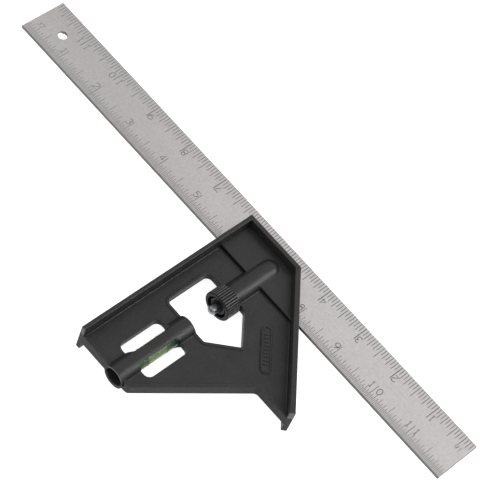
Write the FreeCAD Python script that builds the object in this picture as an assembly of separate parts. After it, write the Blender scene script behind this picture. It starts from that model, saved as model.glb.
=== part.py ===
"""Combination square: a 12 inch rule in a cast head with 90 and 45 degree faces, a clamp and a level.

Drawing coordinates, in mm: u runs along the rule and v across it, both in the plane of the head, and w is
the height above the rule's middle plane. The drawing's origin is where the 90 degree face meets the
rule's inner edge. place() moves a finished shape to the part's frame: +X along the rule, +Y from the
head towards the rule, +Z up, origin at the centre of the bounding box's bottom, lying on the flanges.
"""
import FreeCAD, Part
import math
import os
from FreeCAD import Vector

# Rule
RULE_LENGTH = 304.8
RULE_WIDTH = 26.9
RULE_THICK = 2.0
RULE_SHIFT = 0.65            # middle of the rule from the 90 degree face
RULE_EDGE_BREAK = 0.15
HANG_HOLE_R = 2.5
HANG_HOLE_INSET = 15.9
GROOVE_WIDTH = 3.2
GROOVE_DEPTH = 0.8

# Head casting: outline
FLANGE_HALF = 9.1            # half height of the flanges
FACE_90_LENGTH = 107.4
FACE_90_THICK = 2.25
TOP_WALL_V = 18.3            # outside of the wall that the rule passes through
TOP_WALL_LENGTH = 35.6
TOP_WALL_THICK = 2.4
FACE_45_LENGTH = 78.7
FACE_45_THICK = 2.8
FLANGE_ROUND = 0.5
WEB_HALF = 2.0
RIM_HALF = 3.2
RIM_WIDTH = 1.6
DIAGONAL_ANGLE = 54.4        # slope of the head's diagonal edge, in degrees
DIAGONAL_FOOT_U = 69.9       # where the diagonal meets the foot edge
WEB_CORNER_R = 3.0
ROOT_FILLET = 0.6
BOSS_FILLET = 0.3            # between the boss and the housing
HOUSING_HALF = 4.0
HOUSING_LOW_V = -2.8
SLOT_GAP = 0.1               # clearance on each side of the rule

# Head casting: boss, barrel and openings
AXIS_U = 25.6                # clamp and level share this axis
BOSS_R = 6.2
BOSS_END_V = -17.3
BOSS_DOME_V = 8.1            # centre of the boss's round end
BARREL_R = 6.0
BARREL_TOP_V = -44.2
BARREL_LOW_V = -90.0         # the mouth, a little below the flange
BORE_R = 4.75
BORE_TOP_V = -50.6
WINDOW_LEFT_U = 10.0
WINDOW_TOP_V = -16.6
WINDOW_TIP = (49.8, -31.1)
WINDOW_RIM = 1.5
WINDOW_RIM_HALF = 2.4
VIAL_SLOT_TOP_V = -52.9
VIAL_SLOT_LOW_V = -78.4
VIAL_SLOT_REACH = 10.8       # outer edge of each slot from the axis
VIAL_STRIP_HALF = 2.9        # half width of the strip left over the vial
VIAL_SLOT_R = 3.3
BADGE_CENTRE = (56.9, -22.6)
BADGE_LENGTH = 26.0
BADGE_WIDTH = 5.6
BADGE_HEIGHT = 0.45

# Clamp
BOLT_R = 3.3
BOLT_BORE_R = 3.36
BOLT_TOP_V = 15.0
BOLT_BORE_TOP_V = 15.9
BOLT_SHOULDER_V = -9.6
BOLT_NOTCH_V = -0.8          # the hook begins here, above the full round shank
BOLT_TIP_V = -30.3
THREAD_R = 2.5
THREAD_DOME = 1.4
HOOK_GAP = 0.15              # between the hook's flat and the rule
TOOTH_WIDTH = 2.4
TOOTH_GAP = 0.1
NUT_R = 7.8
NUT_TOP_V = -17.4
NUT_LENGTH = 8.2
NUT_FLUTES = 36
NUT_FLUTE_R = 0.5
NUT_RIM = 1.9
NUT_RECESS = 2.4
INSERT_R = 4.5
INSERT_BORE_R = 2.55
INSERT_SET_IN = 0.7          # from each face of the nut
SPRING_R = 2.95
SPRING_WIRE_R = 0.3
SPRING_TURNS = 4
SPRING_STEPS = 12            # sections per turn

# Level
VIAL_R = 4.55
VIAL_WALL = 1.0
VIAL_MIDDLE_V = -66.3
VIAL_LENGTH = 30.0
VIAL_END = 2.0               # thickness of the closed end
PLUG_LENGTH = 3.0
BUBBLE_R = 1.7
BUBBLE_LENGTH = 10.0
LINE_OFFSET = 6.0            # each line from the middle
LINE_WIDTH = 0.5
LINE_HEIGHT = 0.08
RETAINER_LENGTH = 3.0
RETAINER_R = 4.7

U_AXIS = Vector(1, 0, 0)
V_AXIS = Vector(0, 1, 0)
W_AXIS = Vector(0, 0, 1)

# Places that follow from the sizes above
FACE_90_LOW_V = TOP_WALL_V - FACE_90_LENGTH
FACE_45_RUN = FACE_45_LENGTH / math.sqrt(2)
FACE_45_END = (TOP_WALL_LENGTH + FACE_45_RUN, TOP_WALL_V - FACE_45_RUN)
FACE_45_STEP = FACE_45_THICK / math.sqrt(2)
FOOT_V = FACE_45_END[1] - FACE_45_STEP
DIAGONAL_SLOPE = math.tan(math.radians(DIAGONAL_ANGLE))
DIAGONAL_LOW_U = DIAGONAL_FOOT_U - (FOOT_V - FACE_90_LOW_V) / DIAGONAL_SLOPE
GROOVE_V = RULE_WIDTH / 2
RULE_HALF = RULE_THICK / 2
NUT_LOW_V = NUT_TOP_V - NUT_LENGTH
VIAL_TOP_V = VIAL_MIDDLE_V + VIAL_LENGTH / 2
VIAL_LOW_V = VIAL_MIDDLE_V - VIAL_LENGTH / 2
TO_FRAME = Vector(-RULE_SHIFT, -(RULE_WIDTH + BARREL_LOW_V) / 2, FLANGE_HALF)


def place(shape):
    """The shape, moved from drawing coordinates to the part's frame."""
    return shape.translated(TO_FRAME)


def fused(shapes):
    """All the shapes as one solid, with faces that continue each other joined."""
    return shapes[0].multiFuse(shapes[1:]).removeSplitter()


def rounded_wire(corners):
    """A closed wire in the plane w = 0 through (u, v, radius) corners, each rounded by an arc."""
    count = len(corners)
    rounds = []
    for i, (u, v, radius) in enumerate(corners):
        here = Vector(u, v, 0)
        before = Vector(*corners[i - 1][:2], 0)
        after = Vector(*corners[(i + 1) % count][:2], 0)
        to_before = (before - here).normalize()
        to_after = (after - here).normalize()
        half = to_before.getAngle(to_after) / 2
        back = radius / math.tan(half)
        middle = here
        if radius > 0:
            inward = (to_before + to_after).normalize()
            middle = here + inward * (radius / math.sin(half) - radius)
        rounds.append((here + to_before * back, middle, here + to_after * back, radius))
    edges = []
    for i, (start, middle, end, radius) in enumerate(rounds):
        if radius > 0:
            edges.append(Part.Arc(start, middle, end).toShape())
        following = rounds[(i + 1) % count][0]
        if (following - end).Length > 1e-6:
            edges.append(Part.LineSegment(end, following).toShape())
    return Part.Wire(edges)


def plate(corners, low_w, high_w):
    """A flat plate of the rounded outline, from low_w to high_w."""
    face = Part.Face(rounded_wire(corners))
    return face.extrude(W_AXIS * (high_w - low_w)).translated(W_AXIS * low_w)


def soften(shape, radius, heights):
    """Rounds the edges that lie wholly at one of the heights above the middle plane."""
    edges = []
    for edge in shape.Edges:
        box = edge.BoundBox
        if any(abs(box.ZMin - w) < 1e-4 and abs(box.ZMax - w) < 1e-4 for w in heights):
            edges.append(edge)
    return shape.makeFillet(radius, edges)


def rod(radius, low_v, high_v):
    """A round bar on the clamp and level axis."""
    return Part.makeCylinder(radius, high_v - low_v, Vector(AXIS_U, low_v, 0), V_AXIS)


def box(low, high):
    """A box between two corners."""
    size = [high[i] - low[i] for i in range(3)]
    return Part.makeBox(size[0], size[1], size[2], Vector(*low))


def web_corners():
    """The head's outline: top wall, 45 degree face, foot, diagonal, bottom and 90 degree face."""
    return [
        (0, TOP_WALL_V, 0),
        (TOP_WALL_LENGTH, TOP_WALL_V, 0),
        (*FACE_45_END, 0),
        (FACE_45_END[0] - FACE_45_STEP, FOOT_V, 0),
        (DIAGONAL_FOOT_U, FOOT_V, WEB_CORNER_R),
        (DIAGONAL_LOW_U, FACE_90_LOW_V, WEB_CORNER_R),
        (0, FACE_90_LOW_V, 0),
    ]


def web():
    """The flat middle of the head, with a raised rim along its foot, diagonal and bottom edges."""
    inner = plate(web_corners(), -WEB_HALF, WEB_HALF)
    rim = soften(plate(web_corners(), -RIM_HALF, RIM_HALF), 0.4, (-RIM_HALF, RIM_HALF))
    cut = plate(web_corners(), -RIM_HALF - 1, RIM_HALF + 1)
    slant = math.radians(DIAGONAL_ANGLE)
    shift_u = RIM_WIDTH * (math.cos(slant) - 1) / math.sin(slant)
    rim = rim.cut(cut.translated(Vector(shift_u, RIM_WIDTH, 0)))
    beside_flange = box((-1, FACE_90_LOW_V - 1, -9), (FACE_90_THICK / 2, 20, 9))
    return inner.fuse(rim.cut(beside_flange))


def flange_band():
    """The 90 degree face, top wall and 45 degree face as one bent band."""
    inner_45 = TOP_WALL_LENGTH + TOP_WALL_V - FACE_45_THICK * math.sqrt(2)
    inner_top = TOP_WALL_V - TOP_WALL_THICK
    corners = [
        (0, FACE_90_LOW_V, 0),
        (0, TOP_WALL_V, 0),
        (TOP_WALL_LENGTH, TOP_WALL_V, 0),
        (*FACE_45_END, 0),
        (FACE_45_END[0] - FACE_45_STEP, FOOT_V, 0),
        (inner_45 - inner_top, inner_top, 0),
        (FACE_90_THICK, inner_top, 0),
        (FACE_90_THICK, FACE_90_LOW_V, 0),
    ]
    band = plate(corners, -FLANGE_HALF, FLANGE_HALF)
    return soften(band, FLANGE_ROUND, (-FLANGE_HALF, FLANGE_HALF))


def line(start, end):
    """A straight edge."""
    return Part.LineSegment(start, end).toShape()


def mirrored_pair(shape):
    """The shape joined to its mirror image below the middle plane."""
    return shape.fuse(shape.mirror(Vector(), W_AXIS))


def root_fillet(start, end, side, height, radius):
    """A hollow fillet from start to end, in the corner of a wall and a plate at +height and -height.

    side is the unit direction from the wall into the open. The strip reaches a little into both."""
    sink = 0.3
    foot = Vector(*start, height)
    out = Vector(*side, 0)
    middle = foot + (out + W_AXIS) * (radius * (1 - math.sqrt(0.5)))
    points = [
        foot + W_AXIS * radius,
        foot + W_AXIS * radius - out * sink,
        foot - W_AXIS * sink - out * sink,
        foot - W_AXIS * sink + out * radius,
        foot + out * radius,
    ]
    edges = [line(points[i], points[i + 1]) for i in range(len(points) - 1)]
    edges.append(Part.Arc(points[-1], middle, points[0]).toShape())
    strip = Part.Face(Part.Wire(edges)).extrude(Vector(*end, height) - foot)
    return mirrored_pair(strip)


def flared_bar(radius, plate_half, fillet, low_v, high_v):
    """A round bar on the axis that flows into a plate of the given half height by hollow fillets."""
    reach = math.sqrt((radius + fillet) ** 2 - (plate_half + fillet) ** 2)
    touch = radius / (radius + fillet)
    turn = math.atan2(-(plate_half + fillet), -reach)
    half_turn = (turn - math.pi / 2) / 2

    def point(out, up):
        return Vector(AXIS_U + out, low_v, up)

    def side_arc(sign):
        middle_out = sign * (reach + fillet * math.cos(half_turn))
        middle_up = plate_half + fillet + fillet * math.sin(half_turn)
        start = point(sign * reach, plate_half)
        end = point(sign * reach * touch, (plate_half + fillet) * touch)
        return Part.Arc(start, point(middle_out, middle_up), end).toShape()

    high = (plate_half + fillet) * touch
    crown = Part.Arc(point(reach * touch, high), point(0, radius), point(-reach * touch, high))
    edges = [
        line(point(-reach, 0), point(reach, 0)),
        line(point(reach, 0), point(reach, plate_half)),
        side_arc(1),
        crown.toShape(),
        side_arc(-1),
        line(point(-reach, plate_half), point(-reach, 0)),
    ]
    upper = Part.Face(Part.Wire(edges)).extrude(V_AXIS * (high_v - low_v))
    return mirrored_pair(upper)


def housing():
    """The thicker part of the head round the rule's slot."""
    top = TOP_WALL_V - TOP_WALL_THICK / 2
    slant = TOP_WALL_LENGTH + TOP_WALL_V - FACE_45_THICK / 2
    corners = [
        (FACE_90_THICK / 2, HOUSING_LOW_V, 0),
        (FACE_90_THICK / 2, top, 0),
        (slant - top, top, 0),
        (slant - HOUSING_LOW_V, HOUSING_LOW_V, 0),
    ]
    block = plate(corners, -HOUSING_HALF, HOUSING_HALF)
    return soften(block, 0.6, (-HOUSING_HALF, HOUSING_HALF))


def window_wire():
    """The outline of the window beside the clamp nut."""
    tip_u, tip_v = WINDOW_TIP
    return rounded_wire([
        (WINDOW_LEFT_U, WINDOW_TOP_V, 3.0),
        (tip_u - (WINDOW_TOP_V - tip_v), WINDOW_TOP_V, 2.0),
        (tip_u, tip_v, 1.5),
        (tip_u - (tip_v - BARREL_TOP_V), BARREL_TOP_V, 2.0),
        (WINDOW_LEFT_U, BARREL_TOP_V, 3.0),
    ])


def window_rim():
    """A low raised band round the window."""
    outer = Part.Face(window_wire().makeOffset2D(WINDOW_RIM))
    band = outer.extrude(W_AXIS * 2 * WINDOW_RIM_HALF).translated(W_AXIS * -WINDOW_RIM_HALF)
    return soften(band, 0.3, (-WINDOW_RIM_HALF, WINDOW_RIM_HALF))


def window_cut():
    """The window, right through the head."""
    return Part.Face(window_wire()).extrude(W_AXIS * 20).translated(W_AXIS * -10)


def vial_slot_cut(side):
    """One of the two slots that show the vial, on the side +1 or -1 of the axis."""
    outer = AXIS_U + side * VIAL_SLOT_REACH
    inner = AXIS_U + side * VIAL_STRIP_HALF
    corners = [
        (outer, VIAL_SLOT_TOP_V, VIAL_SLOT_R),
        (outer, VIAL_SLOT_LOW_V, VIAL_SLOT_R),
        (inner + side * 2.5, VIAL_SLOT_LOW_V, 1.0),
        (inner, VIAL_SLOT_LOW_V + 3.0, 1.0),
        (inner, VIAL_SLOT_TOP_V - 2.5, 1.0),
        (inner + side * 1.5, VIAL_SLOT_TOP_V, 1.0),
    ]
    return plate(corners, -10, 10)


def badge():
    """The blank raised pad beside the 45 degree face."""
    half = BADGE_LENGTH / 2
    wide = BADGE_WIDTH / 2
    corners = [(-half, -wide), (half, -wide), (half, wide), (-half, wide)]
    pad = plate([(u, v, wide * 0.98) for u, v in corners], WEB_HALF - 0.5, WEB_HALF + BADGE_HEIGHT)
    pad = soften(pad, 0.25, (WEB_HALF + BADGE_HEIGHT,))
    pad.rotate(Vector(), W_AXIS, -45)
    return pad.translated(Vector(*BADGE_CENTRE, 0))


def head_fillets():
    """Hollow fillets where the web meets the 90 and 45 degree faces."""
    inner_45 = TOP_WALL_LENGTH + TOP_WALL_V - FACE_45_THICK * math.sqrt(2)
    diagonal = math.sqrt(0.5)
    low_90 = (FACE_90_THICK, FACE_90_LOW_V + 0.5)
    high_90 = (FACE_90_THICK, HOUSING_LOW_V)
    high_45 = (inner_45 - HOUSING_LOW_V, HOUSING_LOW_V)
    low_45 = (inner_45 - FOOT_V - 2.5, FOOT_V + 2.5)
    return [
        root_fillet(low_90, high_90, (1, 0), WEB_HALF, ROOT_FILLET),
        root_fillet(high_45, low_45, (-diagonal, -diagonal), WEB_HALF, ROOT_FILLET),
    ]


def head_casting():
    """The whole cast head with its slot, bores and openings."""
    dome = Part.makeSphere(BOSS_R, Vector(AXIS_U, BOSS_DOME_V, 0))
    body = fused([
        web(),
        flange_band(),
        housing(),
        window_rim(),
        badge(),
        flared_bar(BOSS_R, WEB_HALF, ROOT_FILLET, BOSS_END_V, HOUSING_LOW_V + 1),
        flared_bar(BOSS_R, HOUSING_HALF, BOSS_FILLET, HOUSING_LOW_V, BOSS_DOME_V),
        dome,
        flared_bar(BARREL_R, WEB_HALF, ROOT_FILLET, FACE_90_LOW_V, BARREL_TOP_V),
        rod(BARREL_R, BARREL_LOW_V, BARREL_TOP_V),
        *head_fillets(),
    ])
    slot_half = RULE_HALF + SLOT_GAP
    mouth_r = BORE_R + 0.5
    mouth = Part.makeCone(mouth_r, BORE_R, 0.5, Vector(AXIS_U, BARREL_LOW_V, 0), V_AXIS)
    cuts = [
        window_cut().cut(rod(BOSS_R + 1, BOSS_END_V, 0)),
        vial_slot_cut(1),
        vial_slot_cut(-1),
        rod(BORE_R, BARREL_LOW_V - 1, BORE_TOP_V),
        mouth,
        rod(BOLT_BORE_R, BOSS_END_V - 1, BOLT_BORE_TOP_V),
        box((-1, -SLOT_GAP, -slot_half), (FACE_45_END[0], TOP_WALL_V + 1, slot_half)),
    ]
    return body.cut(cuts)


def rule():
    """The graduated blade: hanging hole, and the clamp's groove along its underside."""
    low_u = RULE_SHIFT - RULE_LENGTH / 2
    blade = box((low_u, 0, -RULE_HALF), (low_u + RULE_LENGTH, RULE_WIDTH, RULE_HALF))
    blade = blade.makeChamfer(RULE_EDGE_BREAK, blade.Edges)
    hole_at = Vector(low_u + HANG_HOLE_INSET, RULE_WIDTH / 2, -RULE_THICK)
    hole = Part.makeCylinder(HANG_HOLE_R, 2 * RULE_THICK, hole_at)
    low_v = GROOVE_V - GROOVE_WIDTH / 2
    groove = box(
        (low_u - 1, low_v, -RULE_THICK),
        (low_u + RULE_LENGTH + 1, low_v + GROOVE_WIDTH, GROOVE_DEPTH - RULE_HALF),
    )
    return blade.cut([hole, groove])


def clamp_bolt():
    """The clamp bolt: domed thread end, round shank, and a hook with a tooth for the rule's groove."""
    dome_r = (THREAD_R ** 2 + THREAD_DOME ** 2) / (2 * THREAD_DOME)
    ball = Part.makeSphere(dome_r, Vector(AXIS_U, BOLT_TIP_V + dome_r, 0))
    tip = rod(THREAD_R, BOLT_TIP_V, BOLT_TIP_V + THREAD_DOME).common(ball)
    thread = rod(THREAD_R, BOLT_TIP_V + THREAD_DOME, BOLT_SHOULDER_V)
    shank = rod(BOLT_R, BOLT_SHOULDER_V, BOLT_TOP_V)
    flat_w = -RULE_HALF - HOOK_GAP
    cut = box(
        (AXIS_U - BOLT_R - 1, BOLT_NOTCH_V, flat_w),
        (AXIS_U + BOLT_R + 1, BOLT_TOP_V + 1, BOLT_R + 1),
    )
    tooth_low = GROOVE_V - GROOVE_WIDTH / 2 + TOOTH_GAP
    tooth = box(
        (AXIS_U - BOLT_R, tooth_low, flat_w - 0.5),
        (AXIS_U + BOLT_R, tooth_low + TOOTH_WIDTH, GROOVE_DEPTH - RULE_HALF - HOOK_GAP),
    )
    tooth = tooth.common(rod(BOLT_R, BOLT_NOTCH_V, BOLT_TOP_V))
    return fused([tip, thread, shank.cut(cut), tooth])


def clamp_spring():
    """The coil spring between the bolt's shoulder and the threaded insert, lofted section by section."""
    clear = SPRING_WIRE_R + 0.05
    low_v = NUT_TOP_V - INSERT_SET_IN + clear
    height = BOLT_SHOULDER_V - clear - low_v
    steps = SPRING_TURNS * SPRING_STEPS
    sections = []
    for i in range(steps + 1):
        turn = 2 * math.pi * i / SPRING_STEPS
        out = Vector(math.cos(turn), 0, -math.sin(turn))
        along = Vector(-math.sin(turn), height / (2 * math.pi * SPRING_TURNS * SPRING_R), -math.cos(turn))
        centre = Vector(AXIS_U, low_v + height * i / steps, 0) + out * SPRING_R
        sections.append(Part.Wire(Part.makeCircle(SPRING_WIRE_R, centre, along)))
    return Part.makeLoft(sections, True, True)


def knurled_nut():
    """The fluted thumb nut, recessed at its lower face round the insert."""
    body = rod(NUT_R, NUT_LOW_V, NUT_TOP_V)
    body = body.makeChamfer(0.4, [e for e in body.Edges if e.Closed])
    flutes = []
    for i in range(NUT_FLUTES):
        flute = Part.makeCylinder(NUT_FLUTE_R, NUT_LENGTH + 2, Vector(NUT_R + 0.12, 0, 0))
        flute.rotate(Vector(), W_AXIS, i * 360 / NUT_FLUTES)
        flute.rotate(Vector(), U_AXIS, -90)
        flutes.append(flute.translated(Vector(AXIS_U, NUT_LOW_V - 1, 0)))
    recess = rod(NUT_R - NUT_RIM, NUT_LOW_V - 1, NUT_LOW_V + NUT_RECESS)
    return body.cut(flutes + [recess, rod(INSERT_R, NUT_LOW_V - 1, NUT_TOP_V + 1)])


def threaded_insert():
    """The metal sleeve in the nut that runs on the bolt's thread."""
    low_v = NUT_LOW_V + INSERT_SET_IN
    sleeve = rod(INSERT_R, low_v, NUT_TOP_V - INSERT_SET_IN)
    countersink = Part.makeCone(INSERT_R - 0.9, INSERT_BORE_R, 1.0, Vector(AXIS_U, low_v, 0), V_AXIS)
    return sleeve.cut([rod(INSERT_BORE_R, low_v - 1, NUT_TOP_V), countersink])


def vial_tube():
    """The clear tube of the level, closed at its upper end."""
    inside = rod(VIAL_R - VIAL_WALL, VIAL_LOW_V - 1, VIAL_TOP_V - VIAL_END)
    body = rod(VIAL_R, VIAL_LOW_V, VIAL_TOP_V)
    return body.makeChamfer(0.3, [e for e in body.Edges if e.Closed]).cut(inside)


def vial_plug():
    """The plug that closes the vial's lower end."""
    return rod(VIAL_R - VIAL_WALL, VIAL_LOW_V, VIAL_LOW_V + PLUG_LENGTH)


def vial_liquid():
    """The liquid, less the bubble, which lies against the top of the tube's bore."""
    inside_r = VIAL_R - VIAL_WALL
    liquid = rod(inside_r, VIAL_LOW_V + PLUG_LENGTH, VIAL_TOP_V - VIAL_END)
    half = BUBBLE_LENGTH / 2 - BUBBLE_R
    up = W_AXIS * (inside_r - BUBBLE_R + 0.1)
    low_v = VIAL_MIDDLE_V - half
    bubble = rod(BUBBLE_R, low_v, VIAL_MIDDLE_V + half)
    for end_v in (low_v, VIAL_MIDDLE_V + half):
        bubble = bubble.fuse(Part.makeSphere(BUBBLE_R, Vector(AXIS_U, end_v, 0)))
    return liquid.cut(bubble.translated(up))


def vial_lines():
    """The two marker rings on the vial, either side of its middle."""
    rings = []
    for sign in (-1, 1):
        low_v = VIAL_MIDDLE_V + sign * LINE_OFFSET - LINE_WIDTH / 2
        ring = rod(VIAL_R + LINE_HEIGHT, low_v, low_v + LINE_WIDTH)
        rings.append(ring.cut(rod(VIAL_R, low_v - 1, low_v + 2)))
    return Part.makeCompound(rings)


def vial_retainer():
    """The disc that holds the vial in the barrel, set back from its mouth."""
    high_v = VIAL_LOW_V - 0.1
    return rod(RETAINER_R, high_v - RETAINER_LENGTH, high_v)


NODES = {
    "head_casting": head_casting,
    "rule": rule,
    "clamp_bolt": clamp_bolt,
    "clamp_spring": clamp_spring,
    "knurled_nut": knurled_nut,
    "threaded_insert": threaded_insert,
    "vial_tube": vial_tube,
    "vial_plug": vial_plug,
    "vial_liquid": vial_liquid,
    "vial_lines": vial_lines,
    "vial_retainer": vial_retainer,
}

os.makedirs("parts", exist_ok=True)
for name, make in NODES.items():
    shape = place(make())
    shape.exportStep(f"parts/{name}.step")
    print(name, len(shape.Solids), "valid" if shape.isValid() else "NOT VALID", round(shape.Volume, 1))
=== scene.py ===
"""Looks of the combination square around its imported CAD: materials, graduations, light and camera."""
import math

import bmesh
import bpy
from mathutils import Matrix, Quaternion, Vector


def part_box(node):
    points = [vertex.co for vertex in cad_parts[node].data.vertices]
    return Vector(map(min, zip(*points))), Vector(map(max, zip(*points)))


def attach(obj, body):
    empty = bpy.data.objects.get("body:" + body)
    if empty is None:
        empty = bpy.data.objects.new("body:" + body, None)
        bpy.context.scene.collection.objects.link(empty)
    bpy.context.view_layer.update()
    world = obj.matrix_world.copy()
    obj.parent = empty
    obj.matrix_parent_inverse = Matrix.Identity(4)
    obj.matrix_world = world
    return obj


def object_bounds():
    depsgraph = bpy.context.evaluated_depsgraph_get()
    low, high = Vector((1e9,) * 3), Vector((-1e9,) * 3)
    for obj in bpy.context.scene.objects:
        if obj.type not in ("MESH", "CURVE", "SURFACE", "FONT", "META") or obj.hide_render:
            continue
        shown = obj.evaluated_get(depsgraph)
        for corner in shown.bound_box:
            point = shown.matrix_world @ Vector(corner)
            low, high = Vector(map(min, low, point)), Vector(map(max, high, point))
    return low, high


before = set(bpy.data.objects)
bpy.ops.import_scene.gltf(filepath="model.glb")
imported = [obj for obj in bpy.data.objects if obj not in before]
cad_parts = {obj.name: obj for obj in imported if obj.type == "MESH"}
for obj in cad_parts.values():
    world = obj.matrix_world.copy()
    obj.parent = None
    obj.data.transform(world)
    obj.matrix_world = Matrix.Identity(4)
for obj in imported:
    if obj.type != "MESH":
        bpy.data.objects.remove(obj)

CAD_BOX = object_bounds()
RULE_LOW, RULE_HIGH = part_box("rule")
MM = 0.001
INCH = 0.0254

# Camera: angles in degrees, distance and aim in metres from the middle of the box, lens in mm
CAMERA_AZIMUTH = 27.85       # from -Y towards +X
CAMERA_ELEVATION = 55.5
CAMERA_ROLL = 23.72
CAMERA_DISTANCE = 0.9884
CAMERA_AIM = Vector((0.0039, 0.04045, 0.0))
CAMERA_LENS = 154.4

# Light. Angles are in degrees, azimuth from +X, power in watts, sizes in metres
# Each lamp: azimuth, elevation, power, width, height
LAMPS = {
    "key": (38, 35, 5.5, 0.6, 0.6),
    "low_right": (65, 15, 3.2, 1.2, 0.6),
    "low_back": (125, 15, 1.5, 1.2, 0.6),
    "low_left": (225, 15, 3.0, 1.2, 0.6),
    "low_front": (315, 15, 1.5, 1.2, 0.6),
    "top": (0, 90, 2.0, 0.9, 0.9),
}
RING_LAMPS = 6
RING_START = 101             # azimuth of its first lamp
RING_ELEVATION = 45
RING_POWER = 1.35
RING_SIZE = 0.6
LAMP_DISTANCE = 1.2
WORLD_STRENGTH = 0.20
FLOOR_GLOW = 0.85
FLOOR_REACH = 8.0            # from its middle to each side
FLOOR_CELLS = 8

# The Mix node's sockets for colours, by position
MIX_FACTOR = 0
MIX_FIRST = 6
MIX_SECOND = 7
MIX_RESULT = 2

# Where the materials change, in metres
# The painted shade on the head's upright faces reaches up to WEB_RIM_TOP and fades out over
# WEB_RIM_FADE
WEB_RIM_TOP = 3.2 * MM       # top of the web's raised rim, from the middle of the head
WEB_RIM_FADE = 0.5 * MM
NUT_LAND_LOW = 0.22 * MM     # the painted highlight on the nut's lands starts this far inside its outer radius
NUT_LAND_HIGH = 0.04 * MM    # and is full here
WORN_INK_X = -0.16           # the ink's wear is full here
FRESH_INK_X = 0.04           # and ends here
VIAL_PALE = 4 * MM           # from the vial's middle: pale up to here
VIAL_DEEP = 8 * MM           # deep green from here
VIAL_SHADE_LOW = 6 * MM      # the shade at the vial's inner end starts here
VIAL_SHADE_HIGH = 11 * MM    # and is full here

# Graduations. START is measured from the rule's edge, SINK and PROUD from its face
TICK_START = 0.20 * MM
TICK_SINK = 0.03 * MM
TICK_PROUD = 0.012 * MM
SIXTEENTH_WIDTH = 0.30 * MM
THIRTY_SECOND_WIDTH = 0.22 * MM
INCH_TICK_WIDER = 1.25
# Where each division's line ends, in mm, by how many of the divisions make an inch
SIXTEENTH_TICKS = {16: 4.6, 8: 5.6, 4: 6.6, 2: 8.2, 1: 9.6}
THIRTY_SECOND_TICKS = {32: 3.5, 16: 5.0, 8: 5.9, 4: 6.6, 2: 8.7, 1: 9.8}

# Numbers. LOW is measured from the rule's edge, the rest along the rule unless it says otherwise
LAST_NUMBER = 11
DIGIT_LOW = 6.1 * MM
DIGIT_HEIGHT = 3.7 * MM
DIGIT_WIDTH = 0.66           # of its height
DIGIT_STROKE = 0.095         # of its height
DIGIT_GAP = 0.7 * MM         # from an inch line to its one digit
DIGIT_PAIR_GAP = 1.4 * MM    # from an inch line to each of its two digits
UNIT_START = 3.2 * MM        # the scale's own number, from its zero end
UNIT_STEP = 2.1 * MM
UNIT_LOW = 7.2 * MM
UNIT_HEIGHT = 2.4 * MM
MITRE_LEAST = 0.3            # limits that keep a stroke's sharp corner from growing a spike
MITRE_MOST = 1.6

# The blank pad beside the 45 degree face. Its middle is placed from the corner of the head's box at
# +X and +Y, half way up
BADGE_FROM_CORNER = Vector((-34.35, -40.9, 2.45)) * MM
BADGE_TURN = -45
BADGE_HALF_LENGTH = 12.0 * MM
BADGE_HALF_WIDTH = 2.15 * MM
BADGE_LINE = 0.45 * MM
BADGE_PROUD = 0.3 * MM
BADGE_RIBS = 9
BADGE_RIB_STEP = 2.0 * MM
BADGE_RIB_HALF = 1.15 * MM


# ---------------------------------------------------------------- materials

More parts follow.
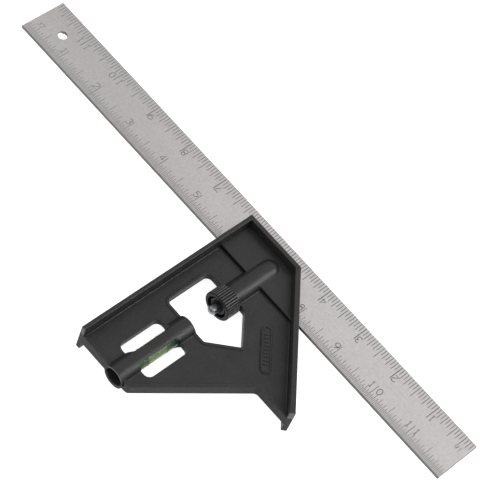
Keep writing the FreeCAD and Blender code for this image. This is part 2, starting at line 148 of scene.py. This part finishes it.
class Material:
    """A node material that is built a step at a time. Coordinates are the part's own, in metres."""

    def __init__(self, name, **surface):
        self.material = bpy.data.materials.new(name)
        self.material.use_nodes = True
        self.nodes = self.material.node_tree.nodes
        self.links = self.material.node_tree.links
        self.surface = self.nodes["Principled BSDF"]
        here = self.nodes.new("ShaderNodeTexCoord")
        self.place = here.outputs["Object"]
        self.facing = here.outputs["Normal"]
        self.normal = None
        for socket, value in surface.items():
            self.surface.inputs[socket.replace("_", " ")].default_value = value

    def node(self, kind, inputs=None, **settings):
        """A node with its settings, and its inputs set or linked."""
        made = self.nodes.new(kind)
        for key, value in settings.items():
            setattr(made, key, value)
        for socket, value in (inputs or {}).items():
            if isinstance(value, bpy.types.NodeSocket):
                self.links.new(value, made.inputs[socket])
            else:
                made.inputs[socket].default_value = value
        return made

    def link(self, output, socket):
        """Feeds one of the surface's own inputs."""
        self.links.new(output, self.surface.inputs[socket])

    def noise(self, size, detail, stretch=(1, 1, 1)):
        """Noise whose features are about size metres, longer along an axis where stretch is large."""
        scale = [1 / (size * s) for s in stretch]
        mapped = self.node("ShaderNodeMapping", {"Vector": self.place, "Scale": scale})
        inputs = {"Vector": mapped.outputs[0], "Scale": 1.0, "Detail": detail}
        return self.node("ShaderNodeTexNoise", inputs).outputs["Fac"]

    def spread(self, value, low, high, from_low=0.3, from_high=0.7):
        """The value stretched from one range to another, and held at its ends."""
        inputs = {
            "Value": value,
            "From Min": from_low,
            "From Max": from_high,
            "To Min": low,
            "To Max": high,
        }
        return self.node("ShaderNodeMapRange", inputs).outputs["Result"]

    def blend(self, factor, first, second):
        """A colour between two, by a factor socket. Each of the two is a colour or a socket."""
        made = self.node("ShaderNodeMix", data_type="RGBA")
        self.links.new(factor, made.inputs[MIX_FACTOR])
        for socket, value in ((MIX_FIRST, first), (MIX_SECOND, second)):
            if isinstance(value, bpy.types.NodeSocket):
                self.links.new(value, made.inputs[socket])
            else:
                made.inputs[socket].default_value = (*value, 1)
        return made.outputs[MIX_RESULT]

    def math(self, operation, first, second=0.0):
        """One step of arithmetic. The second value plays no part where the step needs only one."""
        made = self.node("ShaderNodeMath", {0: first, 1: second}, operation=operation)
        return made.outputs[0]

    def vector_math(self, operation, first, second=(0, 0, 0)):
        """The same for vectors. It gives the node, whose answer is a vector or a value."""
        return self.node("ShaderNodeVectorMath", {0: first, 1: second}, operation=operation)

    def edges(self, radius):
        """1 within about radius of a sharp edge, 0 on the flats."""
        soft = self.node("ShaderNodeBevel", {"Radius": radius}, samples=4).outputs[0]
        true = self.node("ShaderNodeNewGeometry").outputs["True Normal"]
        match = self.vector_math("DOT_PRODUCT", soft, true)
        return self.spread(match.outputs["Value"], 1.0, 0.0, from_low=0.75, from_high=0.995)

    def along(self, vector, axis):
        """One coordinate of a vector, by the letter of its axis."""
        return self.node("ShaderNodeSeparateXYZ", {0: vector}).outputs[axis]

    def sides(self, from_low, from_high):
        """1 on upright faces, 0 on level ones. The range is of how far a normal points up or down."""
        level = self.math("ABSOLUTE", self.along(self.facing, "Z"))
        return self.spread(level, 1.0, 0.0, from_low, from_high)

    def corners(self, reach):
        """1 deep in a corner narrower than reach, 0 on open surfaces."""
        shade = self.node("ShaderNodeAmbientOcclusion", {"Distance": reach}, samples=8)
        return self.spread(shade.outputs["AO"], 1.0, 0.0, from_low=0.35, from_high=0.85)

    def bump(self, height, depth):
        """Adds a height of up to depth metres to the surface."""
        inputs = {"Height": height, "Distance": depth, "Strength": 1.0}
        if self.normal is not None:
            inputs["Normal"] = self.normal
        self.normal = self.node("ShaderNodeBump", inputs).outputs[0]
        self.link(self.normal, "Normal")

    def round_edges(self, radius):
        """Softens sharp edges in the normal that the next bump starts from."""
        self.normal = self.node("ShaderNodeBevel", {"Radius": radius}, samples=4).outputs[0]


def cast_black():
    """Black paint on a cast surface: a fine grain, faint mottling, edges lighter from rubbed paint and
    a painted highlight, painted shade in corners and on upright faces below the rim.
    """
    m = Material("cast_black_paint")
    mottle = m.spread(m.noise(9 * MM, 4), 0.0, 1.0)
    grain = m.noise(0.32 * MM, 2)
    base = m.blend(mottle, (0.0125, 0.0125, 0.0125), (0.0195, 0.0195, 0.0185))
    specks = m.spread(grain, 0.0, 0.6, from_low=0.5, from_high=0.75)
    base = m.blend(specks, base, (0.045, 0.045, 0.045))
    # Edges lighter in colour: partly rubbed paint, partly a painted highlight
    edge_wear_and_highlight = m.math("MULTIPLY", m.edges(0.35 * MM), m.spread(m.noise(3 * MM, 3), 0.1, 0.6))
    base = m.blend(edge_wear_and_highlight, base, (0.12, 0.12, 0.125))
    # Painted shade: the colour is darkened and the specular lowered deep in corners and on upright
    # faces below the web's rim
    low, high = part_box("head_casting")
    rim_top = (low.z + high.z) / 2 + WEB_RIM_TOP
    below_rim = m.spread(m.along(m.place, "Z"), 0.85, 0.0, rim_top, rim_top + WEB_RIM_FADE)
    painted_corner_shade = m.math("MULTIPLY", m.corners(1.3 * MM), 0.7)
    painted_side_shade = m.math("MULTIPLY", m.sides(0.15, 0.6), below_rim)
    dark = m.math("MAXIMUM", painted_corner_shade, painted_side_shade)
    m.link(m.blend(dark, base, (0.006, 0.006, 0.006)), "Base Color")
    m.link(m.spread(dark, 0.42, 0.05, from_low=0.0, from_high=1.0), "Specular IOR Level")
    m.link(m.spread(m.noise(1.2 * MM, 3), 0.33, 0.47), "Roughness")
    m.round_edges(0.2 * MM)
    m.bump(m.noise(1.6 * MM, 3), 0.08 * MM)
    m.bump(grain, 0.04 * MM)
    return m.material


def rule_steel():
    """Satin steel with fine lines along the rule, a faint grain, slight stains and painted shade on its
    side faces.
    """
    m = Material("rule_satin_steel", Metallic=1.0)
    lines = m.noise(0.12 * MM, 2, stretch=(260, 1, 1))
    stain = m.spread(m.noise(14 * MM, 5, stretch=(2.5, 1, 1)), 0.0, 1.0)
    grain = m.noise(0.7 * MM, 3)
    base = m.blend(m.spread(lines, 0.0, 1.0), (0.600, 0.575, 0.570), (0.690, 0.664, 0.658))
    base = m.blend(m.math("MULTIPLY", stain, 0.35), base, (0.56, 0.528, 0.52))
    specks = m.spread(grain, 0.0, 0.55, from_low=0.35, from_high=0.65)
    base = m.blend(specks, base, (0.48, 0.468, 0.465))
    # Painted shade: the rule's side faces are darkened in colour
    m.link(m.blend(m.sides(0.75, 0.95), base, (0.11, 0.107, 0.105)), "Base Color")
    m.link(m.spread(m.noise(5 * MM, 4), 0.39, 0.44), "Roughness")
    m.bump(lines, 0.006 * MM)
    return m.material


def turned_steel(name, light, dark, rough):
    """Steel turned on a lathe, with rings round the clamp's axis."""
    m = Material(name, Metallic=1.0)
    rings = m.noise(0.15 * MM, 2, stretch=(60, 1, 60))
    m.link(m.blend(m.spread(rings, 0.0, 1.0), dark, light), "Base Color")
    m.link(m.spread(m.noise(1.5 * MM, 3), rough * 0.8, rough * 1.3), "Roughness")
    m.bump(rings, 0.003 * MM)
    return m.material


def nut_black():
    """Satin black: a painted highlight in grey on the lands between the flutes, painted shade in the
    flutes and on its ends.
    """
    m = Material("nut_satin_black")
    low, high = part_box("knurled_nut")
    middle = (low + high) / 2
    offset = m.vector_math("SUBTRACT", m.place, middle).outputs[0]
    across = m.vector_math("MULTIPLY", offset, (1, 0, 1)).outputs[0]
    radius = m.vector_math("LENGTH", across).outputs["Value"]
    crest = (high.x - low.x) / 2
    land = m.spread(radius, 0.0, 1.0, crest - NUT_LAND_LOW, crest - NUT_LAND_HIGH)
    # Painted shade in the flutes and on the ends: colour darkened and specular lowered
    painted_flute_shade = m.spread(land, 0.85, 0.0, from_low=0.0, from_high=1.0)
    facing_end = m.math("ABSOLUTE", m.along(m.facing, "Y"))
    end = m.math("MULTIPLY", m.spread(facing_end, 0.0, 1.0, from_low=0.5, from_high=0.8), 0.85)
    mottle = m.spread(m.noise(2 * MM, 3), 0.0, 1.0)
    base = m.blend(mottle, (0.010, 0.010, 0.010), (0.018, 0.018, 0.018))
    # Painted highlight: the lands are an uneven lighter grey in colour
    lighter_mask = m.math("MULTIPLY", land, m.spread(m.noise(1.5 * MM, 3), 0.35, 1.0))
    base = m.blend(lighter_mask, base, (0.11, 0.11, 0.115))
    dark = m.math("MAXIMUM", end, painted_flute_shade)
    m.link(m.blend(dark, base, (0.007, 0.007, 0.007)), "Base Color")
    m.link(m.spread(dark, 0.5, 0.06, from_low=0.0, from_high=1.0), "Specular IOR Level")
    m.link(m.spread(m.noise(0.8 * MM, 3), 0.3, 0.46), "Roughness")
    m.round_edges(0.1 * MM)
    m.bump(m.noise(0.25 * MM, 2), 0.012 * MM)
    return m.material


def etched_black():
    """The dark filling of the etched lines and numbers, paler with wear towards the hanging hole."""
    m = Material("etched_black")
    ink = m.blend(m.spread(m.noise(0.6 * MM, 3), 0.0, 1.0), (0.02, 0.02, 0.021), (0.06, 0.058, 0.056))
    handled = m.spread(m.along(m.place, "X"), 1.0, 0.0, WORN_INK_X, FRESH_INK_X)
    lighter_mask = m.math("MULTIPLY", handled, m.spread(m.noise(2 * MM, 3), 0.35, 0.85))
    m.link(m.blend(lighter_mask, ink, (0.30, 0.295, 0.29)), "Base Color")
    m.link(m.spread(m.noise(0.3 * MM, 2), 0.5, 0.75), "Roughness")
    return m.material


def clear_plastic():
    """The vial's tube, tinted as its liquid looks: pale by the bubble, deep green past the lines, with
    painted shade at its inner end.
    """
    m = Material("vial_clear", Transmission_Weight=0.6, IOR=1.3)
    low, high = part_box("vial_tube")
    middle = (low.y + high.y) / 2
    along = m.along(m.place, "Y")
    from_middle = m.math("ABSOLUTE", m.math("SUBTRACT", along, middle))
    past_lines = m.spread(from_middle, 0.0, 1.0, VIAL_PALE, VIAL_DEEP)
    tint = m.blend(m.spread(m.noise(2.5 * MM, 3), 0.0, 1.0), (0.34, 0.46, 0.23), (0.50, 0.60, 0.36))
    deep = m.blend(m.spread(m.noise(1.5 * MM, 3), 0.0, 1.0), (0.10, 0.20, 0.08), (0.22, 0.36, 0.17))
    tint = m.blend(past_lines, tint, deep)
    # Painted shade: darker towards the vial's inner end
    shade = m.spread(along, 0.0, 0.85, middle + VIAL_SHADE_LOW, middle + VIAL_SHADE_HIGH)
    m.link(m.blend(shade, tint, (0.015, 0.045, 0.035)), "Base Color")
    m.link(m.spread(m.noise(4 * MM, 3), 0.06, 0.14), "Roughness")
    return m.material


def green_liquid():
    """The yellow-green liquid in the vial."""
    m = Material("vial_liquid_green", Transmission_Weight=1.0, IOR=1.36)
    tint = m.blend(m.spread(m.noise(6 * MM, 2), 0.0, 1.0), (0.42, 0.80, 0.20), (0.50, 0.86, 0.26))
    m.link(tint, "Base Color")
    m.link(m.spread(m.noise(3 * MM, 2), 0.0, 0.04), "Roughness")
    return m.material


def dark_plastic():
    """Matte black moulded plastic."""
    m = Material("plastic_matte_black")
    mottle = m.spread(m.noise(1 * MM, 3), 0.0, 1.0)
    m.link(m.blend(mottle, (0.012, 0.012, 0.012), (0.028, 0.028, 0.028)), "Base Color")
    m.link(m.spread(m.noise(0.5 * MM, 2), 0.5, 0.7), "Roughness")
    m.bump(m.noise(0.2 * MM, 2), 0.01 * MM)
    return m.material


def floor_white():
    """The plain pale floor, which glows a little so that it stays white under the soft light."""
    glow = {"Emission_Color": (1, 1, 1, 1), "Emission_Strength": FLOOR_GLOW}
    m = Material("floor_white", Specular_IOR_Level=0.1, **glow)
    mottle = m.spread(m.noise(0.4, 2), 0.0, 1.0)
    m.link(m.blend(mottle, (0.90, 0.90, 0.90), (0.92, 0.92, 0.92)), "Base Color")
    m.link(m.spread(m.noise(0.05, 2), 0.7, 0.8), "Roughness")
    return m.material


def paint(node, material):
    """Gives a CAD node a material."""
    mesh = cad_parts[node].data
    mesh.materials.clear()
    mesh.materials.append(material)


# ---------------------------------------------------------------- pieces

def piece(name, build, material, body):
    """A new mesh piece that rides on a body. build fills the bmesh."""
    shape = bmesh.new()
    build(shape)
    bmesh.ops.recalc_face_normals(shape, faces=shape.faces[:])
    mesh = bpy.data.meshes.new(name)
    shape.to_mesh(mesh)
    shape.free()
    mesh.materials.append(material)
    made = bpy.data.objects.new(name, mesh)
    bpy.context.scene.collection.objects.link(made)
    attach(made, body)
    return made


def block(shape, low, high):
    """Adds a box between two corners."""
    middle = (Vector(low) + Vector(high)) / 2
    size = Vector(high) - Vector(low)
    matrix = Matrix.Translation(middle) @ Matrix.Diagonal((*size, 1))
    bmesh.ops.create_cube(shape, size=1.0, matrix=matrix)


def add(shape, other, matrix):
    """Adds a copy of another bmesh, moved by the matrix, and frees it."""
    mesh = bpy.data.meshes.new("part")
    other.transform(matrix)
    other.to_mesh(mesh)
    other.free()
    shape.from_mesh(mesh)
    bpy.data.meshes.remove(mesh)


def scale_frame(edge, face):
    """From a scale's own axes to the part's. A scale's x runs along the rule from its zero end as the
    numbers read, y from its edge towards the rule's middle, z out of the face.

    edge is +1 for the edge away from the head, -1 for the other.
    face is +1 for the top, -1 for the back.
    """
    middle = (RULE_LOW + RULE_HIGH) / 2
    turn = Matrix.Rotation(math.pi if edge > 0 else 0.0, 4, "Z")
    flip = Matrix.Rotation(math.pi if face < 0 else 0.0, 4, "X")
    half = (RULE_HIGH - RULE_LOW) / 2
    to_corner = Matrix.Translation((-half.x, -half.y, half.z))
    return Matrix.Translation(middle) @ flip @ turn @ to_corner


def ticks(shape, ends, width, matrix):
    """The lines of one scale. ends says where each division's line ends. Division 1 is the inch."""
    finest = max(ends)
    count = round((RULE_HIGH.x - RULE_LOW.x) / INCH * finest)
    made = bmesh.new()
    for i in range(1, count):
        division = min(d for d in ends if i * d % finest == 0)
        x = i * INCH / finest
        half = width / 2 * (INCH_TICK_WIDER if division == 1 else 1.0)
        low = (x - half, TICK_START, -TICK_SINK)
        high = (x + half, ends[division] * MM, TICK_PROUD)
        block(made, low, high)
    add(shape, made, matrix)


def arc(middle, radii, start, end, steps=14):
    """Points along an ellipse, from one angle in degrees to another."""
    angles = [math.radians(start + (end - start) * i / steps) for i in range(steps + 1)]
    return [(middle[0] + radii[0] * math.cos(a), middle[1] + radii[1] * math.sin(a)) for a in angles]


# The strokes of each digit, in a box DIGIT_WIDTH wide and 1 high
DIGITS = {
    "0": [arc((0.33, 0.5), (0.31, 0.5), 90, 450, 24)],
    "1": [[(0.13, 0.80), (0.33, 1.0), (0.33, 0.0)], [(0.13, 0.0), (0.53, 0.0)]],
    "2": [arc((0.33, 0.70), (0.31, 0.30), 170, -28) + [(0.0, 0.0), (0.66, 0.0)]],
    "3": [arc((0.31, 0.76), (0.27, 0.24), 155, -90) + arc((0.31, 0.27), (0.33, 0.27), 84, -155)],
    "4": [[(0.66, 0.28), (0.0, 0.28), (0.47, 1.0), (0.47, 0.0)]],
    "5": [[(0.60, 1.0), (0.10, 1.0), (0.06, 0.54)] + arc((0.31, 0.32), (0.33, 0.32), 132, -150)],
    "6": [arc((0.62, 0.32), (0.62, 0.68), 105, 178, 10)
          + arc((0.32, 0.31), (0.32, 0.31), 180, 540, 22)],
    "7": [[(0.0, 1.0), (0.66, 1.0), (0.22, 0.0)]],
    "8": [arc((0.33, 0.76), (0.25, 0.24), -90, 270, 20),
          arc((0.33, 0.26), (0.32, 0.26), -90, 270, 22)],
    "9": [arc((0.04, 0.68), (0.62, 0.68), -75, -2, 10)
          + arc((0.34, 0.69), (0.32, 0.31), 0, 360, 22)],
}


def stroke(shape, points, width, matrix, proud=TICK_PROUD):
    """Adds a raised line of even width through the points, in the matrix's own axes."""
    sides = []
    for i, point in enumerate(points):
        here = Vector(point)
        before = Vector(points[max(i - 1, 0)])
        after = Vector(points[min(i + 1, len(points) - 1)])
        along_in = (here - before).normalized() if i > 0 else (after - here).normalized()
        along_out = (after - here).normalized() if i < len(points) - 1 else along_in
        along = (along_in + along_out).normalized()
        across = Vector((-along.y, along.x))
        turn = max(across.dot(Vector((-along_in.y, along_in.x))), MITRE_LEAST)
        mitre = min(1 / turn, MITRE_MOST)
        sides.append((here + across * width / 2 * mitre, here - across * width / 2 * mitre))
    rings = []
    for left, right in sides:
        corners = [(*left, -TICK_SINK), (*left, proud), (*right, proud), (*right, -TICK_SINK)]
        rings.append([shape.verts.new(matrix @ Vector(c)) for c in corners])
    for first, second in zip(rings, rings[1:]):
        for i in range(4):
            j = (i + 1) % 4
            shape.faces.new((first[i], first[j], second[j], second[i]))
    shape.faces.new(rings[0])
    shape.faces.new(rings[-1][::-1])


def digit(shape, name, x, y, height, matrix):
    """Adds one digit with its lowest left corner at x, y."""
    for points in DIGITS[name]:
        placed = [(x + px * height, y + py * height) for px, py in points]
        stroke(shape, placed, DIGIT_STROKE * height, matrix)


def numbers(shape, matrix, unit):
    """One scale's numbers: one digit stands before its line, two stand either side of it, and the
    scale's unit stands beside its zero end.
    """
    width = DIGIT_WIDTH * DIGIT_HEIGHT
    for inch in range(1, LAST_NUMBER + 1):
        digits = str(inch)
        gap = DIGIT_GAP if len(digits) == 1 else DIGIT_PAIR_GAP
        digit(shape, digits[0], inch * INCH - gap - width, DIGIT_LOW, DIGIT_HEIGHT, matrix)
        if len(digits) == 2:
            digit(shape, digits[1], inch * INCH + gap, DIGIT_LOW, DIGIT_HEIGHT, matrix)
    for i, name in enumerate(unit):
        digit(shape, name, UNIT_START + i * UNIT_STEP, UNIT_LOW, UNIT_HEIGHT, matrix)


def graduations(ink):
    """Lines and numbers: sixteenths on the outer edge, thirty-seconds on the inner, on both faces."""
    for face, side in ((1, "top"), (-1, "back")):
        outer = scale_frame(1, face)
        inner = scale_frame(-1, face)

        def sixteenths(shape):
            ticks(shape, SIXTEENTH_TICKS, SIXTEENTH_WIDTH, outer)

        def thirty_seconds(shape):
            ticks(shape, THIRTY_SECOND_TICKS, THIRTY_SECOND_WIDTH, inner)

        def lettering(shape):
            numbers(shape, outer, "16")
            numbers(shape, inner, "32")

        piece(f"sixteenths_{side}", sixteenths, ink, "rule")
        piece(f"thirty_seconds_{side}", thirty_seconds, ink, "rule")
        piece(f"numbers_{side}", lettering, ink, "rule")


def badge(black):
    """A plain raised border on the head's blank pad, with even ribs across it."""
    low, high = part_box("head_casting")
    corner = Vector((high.x, high.y, (low.z + high.z) / 2))
    turn = Matrix.Rotation(math.radians(BADGE_TURN), 4, "Z")
    matrix = Matrix.Translation(corner + BADGE_FROM_CORNER) @ turn

    def border(shape):
        radii = (BADGE_HALF_WIDTH, BADGE_HALF_WIDTH)
        reach = BADGE_HALF_LENGTH - BADGE_HALF_WIDTH
        right = arc((reach, 0), radii, -90, 90)
        left = arc((-reach, 0), radii, 90, 270)
        stroke(shape, right + left + right[:2], BADGE_LINE, matrix, BADGE_PROUD)

    def ribs(shape):
        for i in range(BADGE_RIBS):
            x = (i - (BADGE_RIBS - 1) / 2) * BADGE_RIB_STEP
            ends = [(x, -BADGE_RIB_HALF), (x, BADGE_RIB_HALF)]
            stroke(shape, ends, BADGE_LINE, matrix, BADGE_PROUD)

    piece("badge_border", border, black, "head")
    piece("badge_ribs", ribs, black, "head")


# ---------------------------------------------------------------- scene

def camera():
    """The camera, aimed a little off the middle of the box, and tilted about its own axis."""
    azimuth, elevation = math.radians(CAMERA_AZIMUTH), math.radians(CAMERA_ELEVATION)
    back = Vector((
        math.sin(azimuth) * math.cos(elevation),
        -math.cos(azimuth) * math.cos(elevation),
        math.sin(elevation),
    ))
    data = bpy.data.cameras.new("camera")
    data.lens = CAMERA_LENS
    made = bpy.data.objects.new("camera", data)
    bpy.context.scene.collection.objects.link(made)
    aim = (CAD_BOX[0] + CAD_BOX[1]) / 2 + CAMERA_AIM
    made.location = aim + back * CAMERA_DISTANCE
    made.rotation_mode = "QUATERNION"
    roll = Quaternion((0, 0, 1), math.radians(CAMERA_ROLL))
    made.rotation_quaternion = (-back).to_track_quat("-Z", "Y") @ roll
    bpy.context.scene.camera = made


def lamp(name, azimuth, elevation, power, width, height):
    """A soft rectangular light that faces the middle of the object."""
    data = bpy.data.lights.new(name, "AREA")
    data.shape = "RECTANGLE"
    data.size = width
    data.size_y = height
    data.energy = power
    made = bpy.data.objects.new(name, data)
    bpy.context.scene.collection.objects.link(made)
    turn, rise = math.radians(azimuth), math.radians(elevation)
    flat = math.cos(rise)
    towards = Vector((math.cos(turn) * flat, math.sin(turn) * flat, math.sin(rise)))
    made.location = (CAD_BOX[0] + CAD_BOX[1]) / 2 + towards * LAMP_DISTANCE
    made.rotation_mode = "QUATERNION"
    made.rotation_quaternion = (-towards).to_track_quat("-Z", "Y")


def studio():
    """A light tent: a pale glowing floor, a key, low lights all round, a ring above, a top light."""
    shape = bmesh.new()
    bmesh.ops.create_grid(shape, x_segments=FLOOR_CELLS, y_segments=FLOOR_CELLS, size=FLOOR_REACH)
    mesh = bpy.data.meshes.new("floor")
    shape.to_mesh(mesh)
    shape.free()
    mesh.materials.append(floor_white())
    floor = bpy.data.objects.new("floor", mesh)
    floor.location.z = CAD_BOX[0].z
    bpy.context.scene.collection.objects.link(floor)
    world = bpy.data.worlds.new("studio")
    world.use_nodes = True
    background = world.node_tree.nodes["Background"]
    background.inputs["Color"].default_value = (1.0, 1.0, 1.0, 1)
    background.inputs["Strength"].default_value = WORLD_STRENGTH
    bpy.context.scene.world = world
    bpy.context.scene.view_settings.view_transform = "Standard"
    for name, settings in LAMPS.items():
        lamp(name, *settings)
    for i in range(RING_LAMPS):
        azimuth = RING_START + 360 * i / RING_LAMPS
        lamp(f"ring_{i}", azimuth, RING_ELEVATION, RING_POWER, RING_SIZE, RING_SIZE)


def finishes(black, ink):
    """Materials for the CAD nodes, which all show as they are."""
    steel = turned_steel("bolt_steel", (0.32, 0.325, 0.34), (0.24, 0.245, 0.26), 0.34)
    dull_steel = turned_steel("insert_steel", (0.035, 0.035, 0.038), (0.012, 0.012, 0.013), 0.45)
    plastic = dark_plastic()
    paint("head_casting", black)
    paint("rule", rule_steel())
    paint("clamp_bolt", steel)
    paint("clamp_spring", steel)
    paint("knurled_nut", nut_black())
    paint("threaded_insert", dull_steel)
    paint("vial_tube", clear_plastic())
    paint("vial_liquid", green_liquid())
    paint("vial_plug", plastic)
    paint("vial_retainer", plastic)
    paint("vial_lines", ink)


camera()
studio()
head_paint = cast_black()
line_ink = etched_black()
finishes(head_paint, line_ink)
graduations(line_ink)
badge(head_paint)
